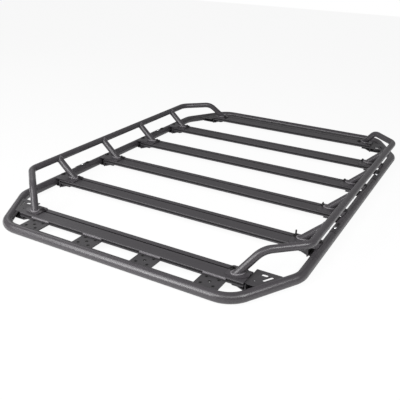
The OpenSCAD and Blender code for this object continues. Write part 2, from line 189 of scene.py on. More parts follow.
def seen_white(tree, in_gloss):
    """1 for camera and transmission rays, in_gloss for glossy ones, and 0 for those of diffuse light."""
    path = put(tree, "ShaderNodeLightPath", (-900, 0)).outputs
    gloss = put(tree, "ShaderNodeMath", (-700, 0), {0: path["Is Glossy Ray"], 1: in_gloss},
                operation="MULTIPLY")
    clear = put(tree, "ShaderNodeMath", (-700, -200),
                {0: path["Is Camera Ray"], 1: path["Is Transmission Ray"]}, operation="MAXIMUM")
    return put(tree, "ShaderNodeMath", (-500, 0), {0: gloss.outputs[0], 1: clear.outputs[0]},
               operation="MAXIMUM").outputs[0]


def surround(light_strength, in_gloss):
    """World that is white to the camera, in_gloss in the gloss, and light_strength as light on the rack."""
    world = bpy.data.worlds.new("surround")
    world.use_nodes = True
    tree = world.node_tree
    tree.nodes.clear()
    strength = put(tree, "ShaderNodeMapRange", (-300, 0),
                   {"Value": seen_white(tree, in_gloss), "To Min": light_strength, "To Max": 1.0})
    back = put(tree, "ShaderNodeBackground", (-100, 0),
               {"Color": plain_white, "Strength": strength.outputs["Result"]})
    put(tree, "ShaderNodeOutputWorld", (100, 0), {"Surface": back.outputs[0]})
    return world


def floor_finish(share_seen, in_gloss):
    """Pale matte floor. A share of it glows white where it is seen, and the rest keeps the shadow."""
    finish = bpy.data.materials.new("studio_floor")
    finish.use_nodes = True
    tree = finish.node_tree
    tree.nodes.clear()
    share = put(tree, "ShaderNodeMath", (-300, 100), {0: seen_white(tree, in_gloss), 1: share_seen},
                operation="MULTIPLY")
    matte = put(tree, "ShaderNodeBsdfDiffuse", (-300, -100), {"Color": floor_colour})
    glow = put(tree, "ShaderNodeEmission", (-300, -250), {"Color": plain_white})
    mix = put(tree, "ShaderNodeMixShader", (-100, 0),
              {"Fac": share.outputs[0], 1: matte.outputs[0], 2: glow.outputs[0]})
    put(tree, "ShaderNodeOutputMaterial", (100, 0), {"Surface": mix.outputs[0]})
    return finish


floor_half = 8.0
floor_z = -0.001
floor_mesh = bpy.data.meshes.new("studio_floor")
floor_mesh.from_pydata([(-floor_half, -floor_half, floor_z), (floor_half, -floor_half, floor_z),
                        (floor_half, floor_half, floor_z), (-floor_half, floor_half, floor_z)],
                       [], [(0, 1, 2, 3)])
floor = bpy.data.objects.new("studio_floor", floor_mesh)
studio.collection.objects.link(floor)
floor_mesh.materials.append(floor_finish(white_share, gloss_share))
studio.world = surround(world_light, gloss_share)
studio.view_settings.view_transform = "Standard"
print("floor", 2 * floor_half, "m square")

# %% [markdown]
# Six soft lamps stand round the rack, most of them at the camera's end. The strongest one is low, to the
# left of the camera. On a round tube a streak lies where the surface turns halfway between the camera and
# the lamp, and this lamp gives the long bright one along the rear tube.

# %% Lamps
lamp_distance = 3.4
lamp_size = 1.2


def soft_lamp(name, degrees_round, degrees_up, watts):
    """Square area lamp aimed at the middle of the rack, some degrees round from its rear end and up."""
    a, e = math.radians(degrees_round), math.radians(degrees_up)
    data = bpy.data.lights.new(name, "AREA")
    data.shape = "SQUARE"
    data.size = lamp_size
    data.energy = watts
    lamp = bpy.data.objects.new(name, data)
    studio.collection.objects.link(lamp)
    back = np.array([math.sin(a) * math.cos(e), -math.cos(a) * math.cos(e), math.sin(e)])
    side = np.cross([0.0, 0.0, 1.0], back)
    side = side / np.linalg.norm(side)
    lamp.matrix_world = placed_matrix(side, np.cross(back, side), back, back * lamp_distance)


for name, degrees_round, degrees_up, watts in (
        ("right", 72, 38, 47.0), ("rear_right", 36, 38, 17.0), ("rear", 0, 38, 34.0),
        ("rear_left", 324, 38, 32.0), ("low_left", 340, 20, 56.0), ("far_left", 252, 38, 7.0)):
    soft_lamp(name, degrees_round, degrees_up, watts)

# %% [markdown]
# ## Shared surface effects
# Every painted part of the rack has the same textured powder coat, so what makes it up is built once, as
# node groups that each finish places with its own numbers. The grain is the fine orange peel of baked
# powder. The mottle is the slow change in shade and gloss that a sprayed coat has. Edges go paler, partly
# as a rubbed, thinner coat and partly as a painted edge highlight, and the extruded slats keep the fine lines
# that the die drew along them under their coat.

# %% A new node group


def new_group(name, inputs, outputs):
    """Empty shader node group. Inputs are (label, kind, starting value) and outputs (label, kind)."""
    group = bpy.data.node_groups.new(name, "ShaderNodeTree")
    for label, kind, value in inputs:
        socket = group.interface.new_socket(label, in_out="INPUT", socket_type="NodeSocket" + kind)
        if value is not None:
            socket.default_value = value
    for label, kind in outputs:
        group.interface.new_socket(label, in_out="OUTPUT", socket_type="NodeSocket" + kind)
    return group, put(group, "NodeGroupInput", (-1000, 0)).outputs


def per_metre(tree, size_socket, place):
    """Texture scale of a pattern whose size is given in millimetres: 1000 divided by the size."""
    return put(tree, "ShaderNodeMath", place, {0: 1000.0, 1: size_socket}, operation="DIVIDE").outputs[0]


# %% Powder grain and mottle
coat_grain, given = new_group("coat_grain", [("Vector", "Vector", None), ("Grain mm", "Float", 0.9),
                                             ("Mottle mm", "Float", 70.0)],
                              [("Height", "Float"), ("Speckle", "Float"), ("Mottle", "Float")])
peel = put(coat_grain, "ShaderNodeTexVoronoi", (-600, 200),
           {"Vector": given["Vector"], "Scale": per_metre(coat_grain, given["Grain mm"], (-800, 200)),
            "Smoothness": 0.6}, feature="SMOOTH_F1")
powder = put(coat_grain, "ShaderNodeTexNoise", (-600, -100),
             {"Vector": given["Vector"], "Scale": per_metre(coat_grain, given["Grain mm"], (-800, -100)),
              "Detail": 3.0, "Roughness": 0.65})
height = put(coat_grain, "ShaderNodeMath", (-350, 100),
             {0: peel.outputs["Distance"], 1: powder.outputs["Fac"]}, operation="ADD")
speckle = put(coat_grain, "ShaderNodeMapRange", (-350, -150),
              {"Value": powder.outputs["Fac"], "From Min": 0.35, "From Max": 0.65})
mottle = put(coat_grain, "ShaderNodeTexNoise", (-600, -400),
             {"Vector": given["Vector"], "Scale": per_metre(coat_grain, given["Mottle mm"], (-800, -400)),
              "Detail": 4.0, "Roughness": 0.55})
even = put(coat_grain, "ShaderNodeMapRange", (-350, -400),
           {"Value": mottle.outputs["Fac"], "From Min": 0.3, "From Max": 0.7})
put(coat_grain, "NodeGroupOutput", (0, 0),
    {"Height": height.outputs[0], "Speckle": speckle.outputs["Result"], "Mottle": even.outputs["Result"]})
print("group", coat_grain.name, "with", len(coat_grain.nodes), "nodes")

# %% Paler edges: wear and painted highlight
pale_edges_wear_and_highlight, given = new_group("pale_edges_wear_and_highlight", [("Vector", "Vector", None), ("Width mm", "Float", 1.2),
                                                 ("Breakup mm", "Float", 9.0)], [("Mask", "Float")])
width = put(pale_edges_wear_and_highlight, "ShaderNodeMath", (-800, 100), {0: given["Width mm"], 1: mm},
            operation="MULTIPLY")
rounded = put(pale_edges_wear_and_highlight, "ShaderNodeBevel", (-600, 100), {"Radius": width.outputs[0]}, samples=6)
flat = put(pale_edges_wear_and_highlight, "ShaderNodeNewGeometry", (-600, -100))
agree = put(pale_edges_wear_and_highlight, "ShaderNodeVectorMath", (-400, 0),
            {0: rounded.outputs["Normal"], 1: flat.outputs["True Normal"]}, operation="DOT_PRODUCT")
edge = put(pale_edges_wear_and_highlight, "ShaderNodeMapRange", (-200, 0),
           {"Value": agree.outputs["Value"], "From Min": 0.97, "From Max": 0.75})
patches = put(pale_edges_wear_and_highlight, "ShaderNodeTexNoise", (-400, -250),
              {"Vector": given["Vector"], "Detail": 3.0,
               "Scale": per_metre(pale_edges_wear_and_highlight, given["Breakup mm"], (-800, -250))})
broken = put(pale_edges_wear_and_highlight, "ShaderNodeMapRange", (-200, -250),
             {"Value": patches.outputs["Fac"], "From Min": 0.4, "From Max": 0.62})
mask = put(pale_edges_wear_and_highlight, "ShaderNodeMath", (0, -100),
           {0: edge.outputs["Result"], 1: broken.outputs["Result"]}, operation="MULTIPLY")
put(pale_edges_wear_and_highlight, "NodeGroupOutput", (200, 0), {"Mask": mask.outputs[0]})
print("group", pale_edges_wear_and_highlight.name, "with", len(pale_edges_wear_and_highlight.nodes), "nodes")

# %% [markdown]
# Painted shade: the coat is darkened where shade falls, in the grooves along the slats, in their slots, and
# round the bolt holes of the tabs. The grooves all lie between two heights, so a band of z finds them. The
# mask is 1 between Low and High and falls to 0 over twice Soft at both.

# %% Painted shade in the grooves
groove_shade_band, given = new_group("groove_shade_band", [("Vector", "Vector", None), ("Low mm", "Float", 27.0),
                                             ("High mm", "Float", 33.0), ("Soft mm", "Float", 0.3)],
                              [("Mask", "Float")])
height = put(groove_shade_band, "ShaderNodeSeparateXYZ", (-800, 0), {0: given["Vector"]}).outputs["Z"]
in_mm = put(groove_shade_band, "ShaderNodeMath", (-650, 0), {0: height, 1: 1.0 / mm},
            operation="MULTIPLY").outputs[0]
steps = []
for label, sign in (("Low mm", 1.0), ("High mm", -1.0)):
    past = put(groove_shade_band, "ShaderNodeMath", (-500, 150 * sign), {0: in_mm, 1: given[label]},
               operation="SUBTRACT")
    along = put(groove_shade_band, "ShaderNodeMath", (-350, 150 * sign), {0: past.outputs[0], 1: given["Soft mm"]},
                operation="DIVIDE")
    steps.append(put(groove_shade_band, "ShaderNodeMapRange", (-200, 150 * sign),
                     {"Value": along.outputs[0], "From Min": -sign, "From Max": sign}).outputs["Result"])
mask = put(groove_shade_band, "ShaderNodeMath", (0, 0), {0: steps[0], 1: steps[1]}, operation="MULTIPLY")
put(groove_shade_band, "NodeGroupOutput", (200, 0), {"Mask": mask.outputs[0]})
print("group", groove_shade_band.name, "with", len(groove_shade_band.nodes), "nodes")

# %% [markdown]
# The holes repeat on every tab, so x is folded over the tabs with a ping-pong, and y over the two ends and
# over the two rows of holes. The distance to the nearest of the four small holes or the larger middle one
# then gives the mask: 1 up to Ring, and 0 from Soft beyond it. The mask paints shade round each hole.

# %% Painted shade round the tab holes
hole_shade_ring, given = new_group("hole_shade_ring", [("Vector", "Vector", None), ("Ring mm", "Float", 5.6),
                                             ("Soft mm", "Float", 1.5)], [("Mask", "Float")])
place = put(hole_shade_ring, "ShaderNodeSeparateXYZ", (-900, 0), {0: given["Vector"]}).outputs


def folded(value, offset, place_y):
    """Distance of a value from the nearer of two mirrored lines: | |value| - offset |."""
    whole = put(hole_shade_ring, "ShaderNodeMath", (-700, place_y), {0: value}, operation="ABSOLUTE").outputs[0]
    less = put(hole_shade_ring, "ShaderNodeMath", (-550, place_y), {0: whole, 1: offset},
               operation="SUBTRACT").outputs[0]
    return put(hole_shade_ring, "ShaderNodeMath", (-400, place_y), {0: less}, operation="ABSOLUTE").outputs[0]


def far_from(x, y, place_y):
    """Length of a pair of distances: sqrt(x^2 + y^2)."""
    pair = put(hole_shade_ring, "ShaderNodeCombineXYZ", (-50, place_y), {"X": x, "Y": y}).outputs[0]
    return put(hole_shade_ring, "ShaderNodeVectorMath", (100, place_y), {0: pair},
               operation="LENGTH").outputs["Value"]


shifted = put(hole_shade_ring, "ShaderNodeMath", (-750, 300), {0: place["X"], 1: tab_pitch / 2},
              operation="SUBTRACT")
in_tab = put(hole_shade_ring, "ShaderNodeMath", (-600, 300), {0: shifted.outputs[0], 1: tab_pitch / 2},
             operation="PINGPONG").outputs[0]
along_tab = folded(place["Y"], tab_middle_y, -200)
small = far_from(folded(in_tab, hole_off_x, 150), folded(along_tab, hole_off_y, -50), 100)
large = far_from(in_tab, along_tab, -200)
nearest = put(hole_shade_ring, "ShaderNodeMath", (250, 0), {0: small, 1: large}, operation="MINIMUM")
nearest_mm = put(hole_shade_ring, "ShaderNodeMath", (400, 0), {0: nearest.outputs[0], 1: 1.0 / mm},
                 operation="MULTIPLY")
edge_mm = put(hole_shade_ring, "ShaderNodeMath", (250, -200), {0: given["Ring mm"], 1: given["Soft mm"]},
              operation="ADD")
mask = put(hole_shade_ring, "ShaderNodeMapRange", (550, 0),
           {"Value": nearest_mm.outputs[0], "From Min": edge_mm.outputs[0], "From Max": given["Ring mm"]})
put(hole_shade_ring, "NodeGroupOutput", (700, 0), {"Mask": mask.outputs["Result"]})
print("group", hole_shade_ring.name, "with", len(hole_shade_ring.nodes), "nodes")

# %% [markdown]
# The die leaves fine lines along an extrusion. Noise that is stretched a long way along x gives them: a
# fine one for their height, and a wider one for bands of slightly different shade.

# %% Lines drawn by the die
stretch = (0.012, 1.0, 1.0)
band_scale = 120.0
drawn_lines, given = new_group("drawn_lines", [("Vector", "Vector", None), ("Pitch mm", "Float", 1.6)],
                               [("Height", "Float"), ("Shade", "Float")])
stretched = put(drawn_lines, "ShaderNodeVectorMath", (-800, 0), {0: given["Vector"], 1: stretch},
                operation="MULTIPLY")
fine = put(drawn_lines, "ShaderNodeTexNoise", (-500, 100),
           {"Vector": stretched.outputs[0], "Scale": per_metre(drawn_lines, given["Pitch mm"], (-700, 200)),
            "Detail": 2.0})
wide = put(drawn_lines, "ShaderNodeTexNoise", (-500, -200),
           {"Vector": stretched.outputs[0], "Scale": band_scale, "Detail": 2.0})
shade = put(drawn_lines, "ShaderNodeMapRange", (-300, -200),
            {"Value": wide.outputs["Fac"], "From Min": 0.3, "From Max": 0.7})
put(drawn_lines, "NodeGroupOutput", (0, 0),
    {"Height": fine.outputs["Fac"], "Shade": shade.outputs["Result"]})
print("group", drawn_lines.name, "with", len(drawn_lines.nodes), "nodes")

# %% [markdown]
# ## Finishes
# Each finish is one material: its colour, its gloss and how deep its grain is. The colour and roughness
# move a little with the mottle and the speckle, because a coat that is the same everywhere looks like
# plastic. The grain goes into a Bump node, since it is far too fine to model. Painted shade is dark and dull.

# %% Powder coat
coat_mottle_mm = 70.0
die_pitch_mm = 1.6
# Paler edges, partly wear and partly a painted edge highlight: their width, the size of their breaks, and how
# much paler they go.
pale_edge_width_mm, pale_edge_breakup_mm = 1.6, 9.0
speckle_share = 0.35
pale_edge_factor = 2.4
# Painted shade in the grooves and round the tab holes: the colour falls to this share there, and the coat is
# duller.
painted_shade_dark = 0.12
painted_shade_dull = 0.4


def placed_group(tree, group, place, **inputs):
    """Put a node group into a material. An underscore in a keyword is a space in the input's name."""
    node = put(tree, "ShaderNodeGroup", place, node_tree=group)
    for key, value in inputs.items():
        socket = node.inputs[key.replace("_", " ")]
        if isinstance(value, bpy.types.NodeSocket):
            tree.links.new(value, socket)
        else:
            socket.default_value = value
    return node.outputs


def colour_mix(tree, place, share, first, second):
    """Socket of the colour between two colours or sockets, by a share or the socket that gives it."""
    node = put(tree, "ShaderNodeMix", place, {0: share}, data_type="RGBA")
    for socket, colour in ((node.inputs[6], first), (node.inputs[7], second)):
        if isinstance(colour, bpy.types.NodeSocket):
            tree.links.new(colour, socket)
        else:
            socket.default_value = (*colour, 1.0)
    return node.outputs[2]


def powder_coat(name, colour, roughness, grain_mm=0.9, relief_mm=0.06, pale_edge_share=0.5, drawn=False, holes=False):
    """Satin textured powder coat. Colour is its middle shade, and the edge share says how far edges go paler,
    as wear and painted highlight.

    Drawn gives the slats' die lines and painted shade in their grooves, holes painted shade round the tab
    holes.
    """
    finish = bpy.data.materials.new(name)
    finish.use_nodes = True
    tree = finish.node_tree
    skin = tree.nodes["Principled BSDF"]
    where = put(tree, "ShaderNodeTexCoord", (-1500, 0)).outputs["Object"]
    grain = placed_group(tree, coat_grain, (-1200, 100), Vector=where, Grain_mm=grain_mm,
                         Mottle_mm=coat_mottle_mm)
    colour = np.array(colour)
    shade = colour_mix(tree, (-800, 300), grain["Mottle"], colour * 0.88, colour * 1.12)
    dots = colour_mix(tree, (-800, 100), grain["Speckle"], colour * 0.8, colour * 1.25)
    base = colour_mix(tree, (-600, 300), speckle_share, shade, dots)
    height = grain["Height"]
    if drawn:
        lines = placed_group(tree, drawn_lines, (-1200, -300), Vector=where, Pitch_mm=die_pitch_mm)
        base = colour_mix(tree, (-400, 500), lines["Shade"], base, colour * 1.1)
        height = put(tree, "ShaderNodeMath", (-800, -100), {0: height, 1: lines["Height"]},
                     operation="ADD").outputs[0]
    # Paler edges: a painted edge highlight together with wear.
    pale_edge_mask = placed_group(tree, pale_edges_wear_and_highlight, (-1200, -600), Vector=where, Width_mm=pale_edge_width_mm,
                        Breakup_mm=pale_edge_breakup_mm)["Mask"]
    weak = put(tree, "ShaderNodeMath", (-600, -400), {0: pale_edge_mask, 1: pale_edge_share}, operation="MULTIPLY").outputs[0]
    base = colour_mix(tree, (-200, 300), weak, base, colour * pale_edge_factor)
    gloss = put(tree, "ShaderNodeMapRange", (-400, 0),
                {"Value": grain["Mottle"], "To Min": roughness - 0.03,
                 "To Max": roughness + 0.04}).outputs["Result"]
    # Painted shade: a darker, duller coat in the slats' grooves and round the tab holes.
    painted_shade = None
    if drawn:
        painted_shade = placed_group(tree, groove_shade_band, (-1200, -900), Vector=where,
                             Low_mm=(slat_top - groove_down - groove_tall) / mm,
                             High_mm=(slat_top - groove_down) / mm)["Mask"]
    if holes:
        painted_shade = placed_group(tree, hole_shade_ring, (-1200, -900), Vector=where)["Mask"]
    if painted_shade is not None:
        base = colour_mix(tree, (-100, 500), painted_shade, base, colour * painted_shade_dark)
        dull = put(tree, "ShaderNodeMath", (-300, 150), {0: painted_shade, 1: painted_shade_dull},
                   operation="MULTIPLY").outputs[0]
        gloss = put(tree, "ShaderNodeMath", (-150, 100), {0: gloss, 1: dull}, operation="ADD").outputs[0]
    bump = put(tree, "ShaderNodeBump", (-300, -200),
               {"Height": height, "Strength": 1.0, "Distance": relief_mm * mm})
    tree.links.new(base, skin.inputs["Base Color"])
    tree.links.new(gloss, skin.inputs["Roughness"])
    tree.links.new(bump.outputs["Normal"], skin.inputs["Normal"])
    return finish


tube_coat = powder_coat("tube_coat", (0.046, 0.042, 0.047), 0.3)
deck_coat = powder_coat("deck_coat", (0.037, 0.034, 0.038), 0.43, pale_edge_share=1.0, drawn=True)
plate_coat = powder_coat("plate_coat", (0.038, 0.036, 0.039), 0.46, holes=True)
bracket_coat = powder_coat("bracket_coat", (0.030, 0.028, 0.031), 0.45)
# Painted highlight: the weld coat is about three times paler than the tubes' coat, so the beads show the
# bright line of light they catch.
weld_highlight_coat = powder_coat("weld_highlight_coat", (0.13, 0.123, 0.132), 0.3, grain_mm=0.7, pale_edge_share=0.2)
print("finishes", [finish.name for finish in (tube_coat, deck_coat, plate_coat, bracket_coat, weld_highlight_coat)])

# %% [markdown]
# The slats' coat has the die's lines and painted shade in their grooves, the plates' coat has painted shade
# round their holes, and the brackets and clips have a coat of their own. A part's own name says which it is.

# %% Finish of each part
for name, part in parts.items():
    finish = tube_coat
    if "slat" in name:
        finish = deck_coat
    if "plate" in name:
        finish = plate_coat
    if "saddle" in name or "clip" in name:
        finish = bracket_coat
    part.data.materials.clear()
    part.data.materials.append(finish)

# %% [markdown]
# ## Making a piece from skins
# A weld bead and a bolt are both round shapes, so both are made as a stack of rings: a grid of points whose
# columns go round and whose rows go along. Numpy works the whole grid out at once. A stack that starts and
# ends on a point is closed with a fan of triangles there, and a stack that runs round a loop closes on
# itself.

# %% Rings to skins


def stacked_skin(rings, start, end):
    """Closed skin over a stack of rings, with a fan of triangles to a point at each end.

    Rings is an array (rows, columns, 3), counted anticlockwise when looked at from the end point.
    """
    rows, columns = rings.shape[:2]
    row, column = np.meshgrid(np.arange(rows - 1), np.arange(columns), indexing="ij")
    after = (column + 1) % columns
    quads = np.stack((row * columns + column, row * columns + after,
                      (row + 1) * columns + after, (row + 1) * columns + column), axis=-1).reshape(-1, 4)
    first, last = rows * columns, rows * columns + 1
    ring = np.arange(columns)
    turn = (ring + 1) % columns
    top = (rows - 1) * columns
    fans = np.concatenate((np.column_stack((np.full(columns, first), turn, ring)),
                           np.column_stack((np.full(columns, last), top + ring, top + turn))))
    points = np.concatenate((rings.reshape(-1, 3), [start], [end]))
    return points, quads.tolist() + fans.tolist()


def looped_skin(rings):
    """Closed skin over rings that run round a loop, so that the last ring joins the first."""
    rows, columns = rings.shape[:2]
    row, column = np.meshgrid(np.arange(rows), np.arange(columns), indexing="ij")
    after, below = (column + 1) % columns, (row + 1) % rows
    quads = np.stack((row * columns + column, row * columns + after,
                      below * columns + after, below * columns + column), axis=-1)
    return rings.reshape(-1, 3), quads.reshape(-1, 4).tolist()


def moved(skin, by):
    """The same skin somewhere else."""
    return skin[0] + np.array(by), skin[1]


def mirrored(skin, x_sign, y_sign):
    """Skin mirrored to the quarter of the rack given by two signs. One mirror turns its faces round."""
    points = skin[0] * np.array([x_sign, y_sign, 1.0])
    faces = skin[1] if x_sign * y_sign > 0 else [face[::-1] for face in skin[1]]
    return points, faces


def piece(name, skins, finish, smooth_deg=40.0):
    """Join skins into one mesh object that rides on the rack. Creases over smooth_deg stay sharp."""
    starts = np.cumsum([0] + [len(points) for points, _ in skins[:-1]])
    points = np.concatenate([points for points, _ in skins])
    faces = [[corner + int(start) for corner in face]
             for start, (_, skin) in zip(starts, skins) for face in skin]
    mesh = bpy.data.meshes.new(name)
    mesh.from_pydata(points.tolist(), [], faces)
    mesh.polygons.foreach_set("use_smooth", np.ones(len(faces), dtype=bool))
    mesh.set_sharp_from_angle(angle=math.radians(smooth_deg))
    mesh.materials.append(finish)
    thing = bpy.data.objects.new(name, mesh)
    studio.collection.objects.link(thing)
    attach(thing, "root")
    print(name, len(skins), "skins", len(faces), "faces")


quarters = [(x_sign, y_sign) for x_sign in (1, -1) for y_sign in (1, -1)]

# %% [markdown]
# ## Weld beads
# The posts, the rail legs and the tabs are welded on. A hand-laid bead is a row of overlapping coins of
# metal, each about two millimetres further on, and the powder coat goes over it. Here a bead is a round
# section carried along the joint. Its radius swells once for each coin, and the swelling is bent into a
# crescent, because the metal cools from the sides inwards.

# %% A bead along a path
coin_pitch = 2.4 * mm
bead_step = 0.6 * mm


def directions(line, looped):
    """Unit vector along a line at each of its points."""
    if looped:
        along = np.roll(line, -1, axis=0) - np.roll(line, 1, axis=0)
    else:
        along = np.gradient(line, axis=0)
    return along / np.linalg.norm(along, axis=1)[:, None]


def bead(path, lean, radius, looped, depth=0.16, bow=0.3, columns=12):
    """Weld bead of a given radius along a path of points.

    radius(s, angle) = radius * (1 - depth * (1 - |sin(pi * (s / pitch + bow * cos(angle)))|)),
    where s is the distance along the path. The ends of an open bead close in a quarter circle.
    Lean is a direction that the path never follows; the section is set up square to it and to the path.
    """
    closed_path = np.vstack((path, path[:1])) if looped else np.asarray(path, dtype=float)
    so_far = np.concatenate(([0.0], np.cumsum(np.linalg.norm(np.diff(closed_path, axis=0), axis=1))))
    length = so_far[-1]
    pitch = length / round(length / coin_pitch)
    along = np.linspace(0.0, length, int(length / bead_step), endpoint=not looped)
    line = np.column_stack([np.interp(along, so_far, closed_path[:, axis]) for axis in range(3)])
    forward = directions(line, looped)
    side = np.cross(forward, np.asarray(lean, dtype=float))
    side = side / np.linalg.norm(side, axis=1)[:, None]
    up = np.cross(forward, side)
    angle = np.linspace(0.0, 2 * math.pi, columns, endpoint=False)
    coins = np.abs(np.sin(math.pi * (along[:, None] / pitch + bow * np.cos(angle)[None, :])))
    thick = radius * (1 - depth * (1 - coins))
    if not looped:
        to_end = np.minimum(along, length - along)
        thick = thick * np.sqrt(1 - np.clip(1 - to_end / radius, 0.0, 1.0) ** 2)[:, None]
    rings = (line[:, None, :] + thick[..., None] * (np.cos(angle)[None, :, None] * side[:, None, :]
                                                    + np.sin(angle)[None, :, None] * up[:, None, :]))
    return looped_skin(rings) if looped else stacked_skin(rings[1:-1], line[0], line[-1])


# %% [markdown]
# A round tube that lands on a level plate touches it along an ellipse: each point of the tube's section is
# slid along the tube until it reaches the plate. Where a post meets the round rail, each point is slid
# along the post until it is one rail radius from the rail's middle line. Both joints are loops of points,
# and a bead is carried round them, most of it sunk into the corner. Sink is the share of its radius by
# which its middle stands out of the corner.

# %% Joints of the posts and legs
loop_points = 120
foot_bead = 4.0 * mm
head_bead = 2.2 * mm
sink = 0.15


def landing_loop(foot, axis, radius):
    """Where a round tube lands on a level plate.

    point(t) = foot + q(t) - axis * q(t).z / axis.z, with q(t) = radius * (across * cos t + ahead * sin t)
    """
    t = np.linspace(0.0, 2 * math.pi, loop_points, endpoint=False)[:, None]
    across = np.cross(axis, [0.0, 0.0, 1.0])
    across = across / np.linalg.norm(across)
    ahead = np.cross(axis, across)
    section = radius * (across * np.cos(t) + ahead * np.sin(t))
    return np.asarray(foot) + section - np.asarray(axis) * section[:, 2:] / axis[2]


def saddle_loop(head, axis, post_radius, tube_radius):
    """Where a post meets a level round rail that runs along y, its middle line at the head.

    point(t) = head + q(t) + axis * slide(t), with slide(t) = sqrt(tube_radius^2 - (post_radius * cos t)^2)
    and q(t) = post_radius * (across * cos t + rail * sin t)
    """
    t = np.linspace(0.0, 2 * math.pi, loop_points, endpoint=False)[:, None]
    rail = np.array([0.0, 1.0, 0.0])
    across = np.cross(rail, axis)
    section = post_radius * (across * np.cos(t) + rail * np.sin(t))
    slide = np.sqrt(np.clip(tube_radius ** 2 - (post_radius * np.cos(t)) ** 2, 0.0, None))
    return np.asarray(head) + section + np.asarray(axis) * slide


post_foot = np.array([side_x - post_lean, 0.0, slat_top + pad_thick / 2])
post_head = np.array([rail_x, 0.0, rail_z])
post_axis = (post_foot - post_head) / np.linalg.norm(post_foot - post_head)
post_landing = post_foot - post_axis * (post_foot[2] - pad_top) / post_axis[2]
foot_loop = landing_loop(post_landing + [0, 0, sink * foot_bead], post_axis, rail_radius + sink * foot_bead)
head_radius = rail_radius + sink * head_bead
head_loop = saddle_loop(post_head, post_axis, head_radius, head_radius)
post_beads = [bead(foot_loop, post_axis, foot_bead, True), bead(head_loop, post_axis, head_bead, True)]
post_welds = [mirrored(moved(one, (0.0, y + post_shift, 0.0)), x_sign, 1)
              for x_sign in (1, -1) for y in slat_y for one in post_beads]
piece("post_welds", post_welds, weld_highlight_coat)

leg_axis = leg_level * leg_run - np.array([0.0, 0.0, rail_z - pad_top])
leg_axis = leg_axis / np.linalg.norm(leg_axis)
leg_loop = landing_loop([*leg_foot, pad_top + sink * foot_bead], leg_axis, rail_radius + sink * foot_bead)
leg_bead = bead(leg_loop, leg_axis, foot_bead, True)
piece("rail_leg_welds", [mirrored(leg_bead, *quarter) for quarter in quarters], weld_highlight_coat)

# %% [markdown]
# Each tab of the end plates is welded to the side of the end slat along its whole width, which shows in the
# photograph as a thin bright line. That bead lies at the height of the groove in the slat's side, so it is a
# thick one. Under the rack, short stitches join the end plates to the ring, and the brackets under the
# slats to the side tubes. All of them are straight.

# %% Beads on the plates and brackets
tab_bead = 5.2 * mm
tab_bead_in = 1.4 * mm
tab_bead_up = 5.6 * mm
stitch_bead = 2.0 * mm
stitch_half = 20 * mm
stitch_in = 0.7 * mm
stitch_down = 0.6 * mm
bracket_half = 26 * mm
bracket_bead_up = 2.2 * mm
line_points = 30
upward = (0.0, 0.0, 1.0)


def straight_bead(centre, half, radius):
    """Open bead whose middle is at centre and whose ends lie half to each side of it, half being a vector."""
    share = np.linspace(-1.0, 1.0, line_points)[:, None]
    return bead(np.asarray(centre) + share * np.asarray(half), upward, radius, False)


# The beads' paler coat is a painted highlight for that bright line.
slat_face = end_slat_y + slat_half
tab_welds = [straight_bead((x, slat_face - tab_bead_in, tab_top + tab_bead_up),
                           (tab_width / 2, 0, 0), tab_bead) for x in tab_x]
piece("tab_welds", [mirrored(one, 1, y_sign) for one in tab_welds for y_sign in (1, -1)],
      weld_highlight_coat)

under_tab = end_y - math.sqrt(ring_radius ** 2 - (tab_low - ring_radius) ** 2)
tab_stitches = [straight_bead((x, under_tab - stitch_in, tab_low - stitch_down),
                              (stitch_half, 0, 0), stitch_bead) for x in tab_x]
flange_end = side_x - ring_radius / 2
bracket_stitches = [straight_bead((flange_end, y, bracket_bead_up), (0, bracket_half, 0), stitch_bead)
                    for y in slat_y]
piece("underside_welds", [mirrored(one, 1, y_sign) for one in tab_stitches for y_sign in (1, -1)]
      + [mirrored(one, x_sign, 1) for one in bracket_stitches for x_sign in (1, -1)],
      weld_highlight_coat)

# %% [markdown]
# ## Fasteners
# The foot plates are held by T-bolts whose heads slide in the slats' slots, each with a wide washer and a
# flange nut. A turned part is a profile of radius and height carried round its axis. A hexagon is made the
# same way: where the profile would stick out past the flats, its radius is cut back to them. The profiles
# are in millimetres.

# %% Turned parts
washer_mm = 1.4
washer_thick = washer_mm * mm


def turned(profile, columns=48):
    """Turned part standing on the origin, from a profile of (radius, height, width across flats) rows.

    radius(angle) = min(radius, flats / 2 / cos(angle from the middle of the nearest flat)); a round row has
    no flats. The first and last rows have no radius: they are the points that close the part.
    """
    radius, height, flats = np.array(profile, dtype=float).T * mm
    angle = np.linspace(0.0, 2 * math.pi, columns, endpoint=False)
    sixth = math.pi / 3
    from_flat = np.mod(angle + sixth / 2, sixth) - sixth / 2
    limit = np.where(flats[:, None] > 0, flats[:, None] / 2 / np.cos(from_flat)[None, :], np.inf)
    round_radius = np.minimum(radius[:, None], limit)
    rings = np.stack((round_radius * np.cos(angle), round_radius * np.sin(angle),
                      np.broadcast_to(height[:, None], round_radius.shape)), axis=-1)
    ends = np.column_stack((radius, radius, height))[[0, -1]]
    return stacked_skin(rings[1:-1], *ends)


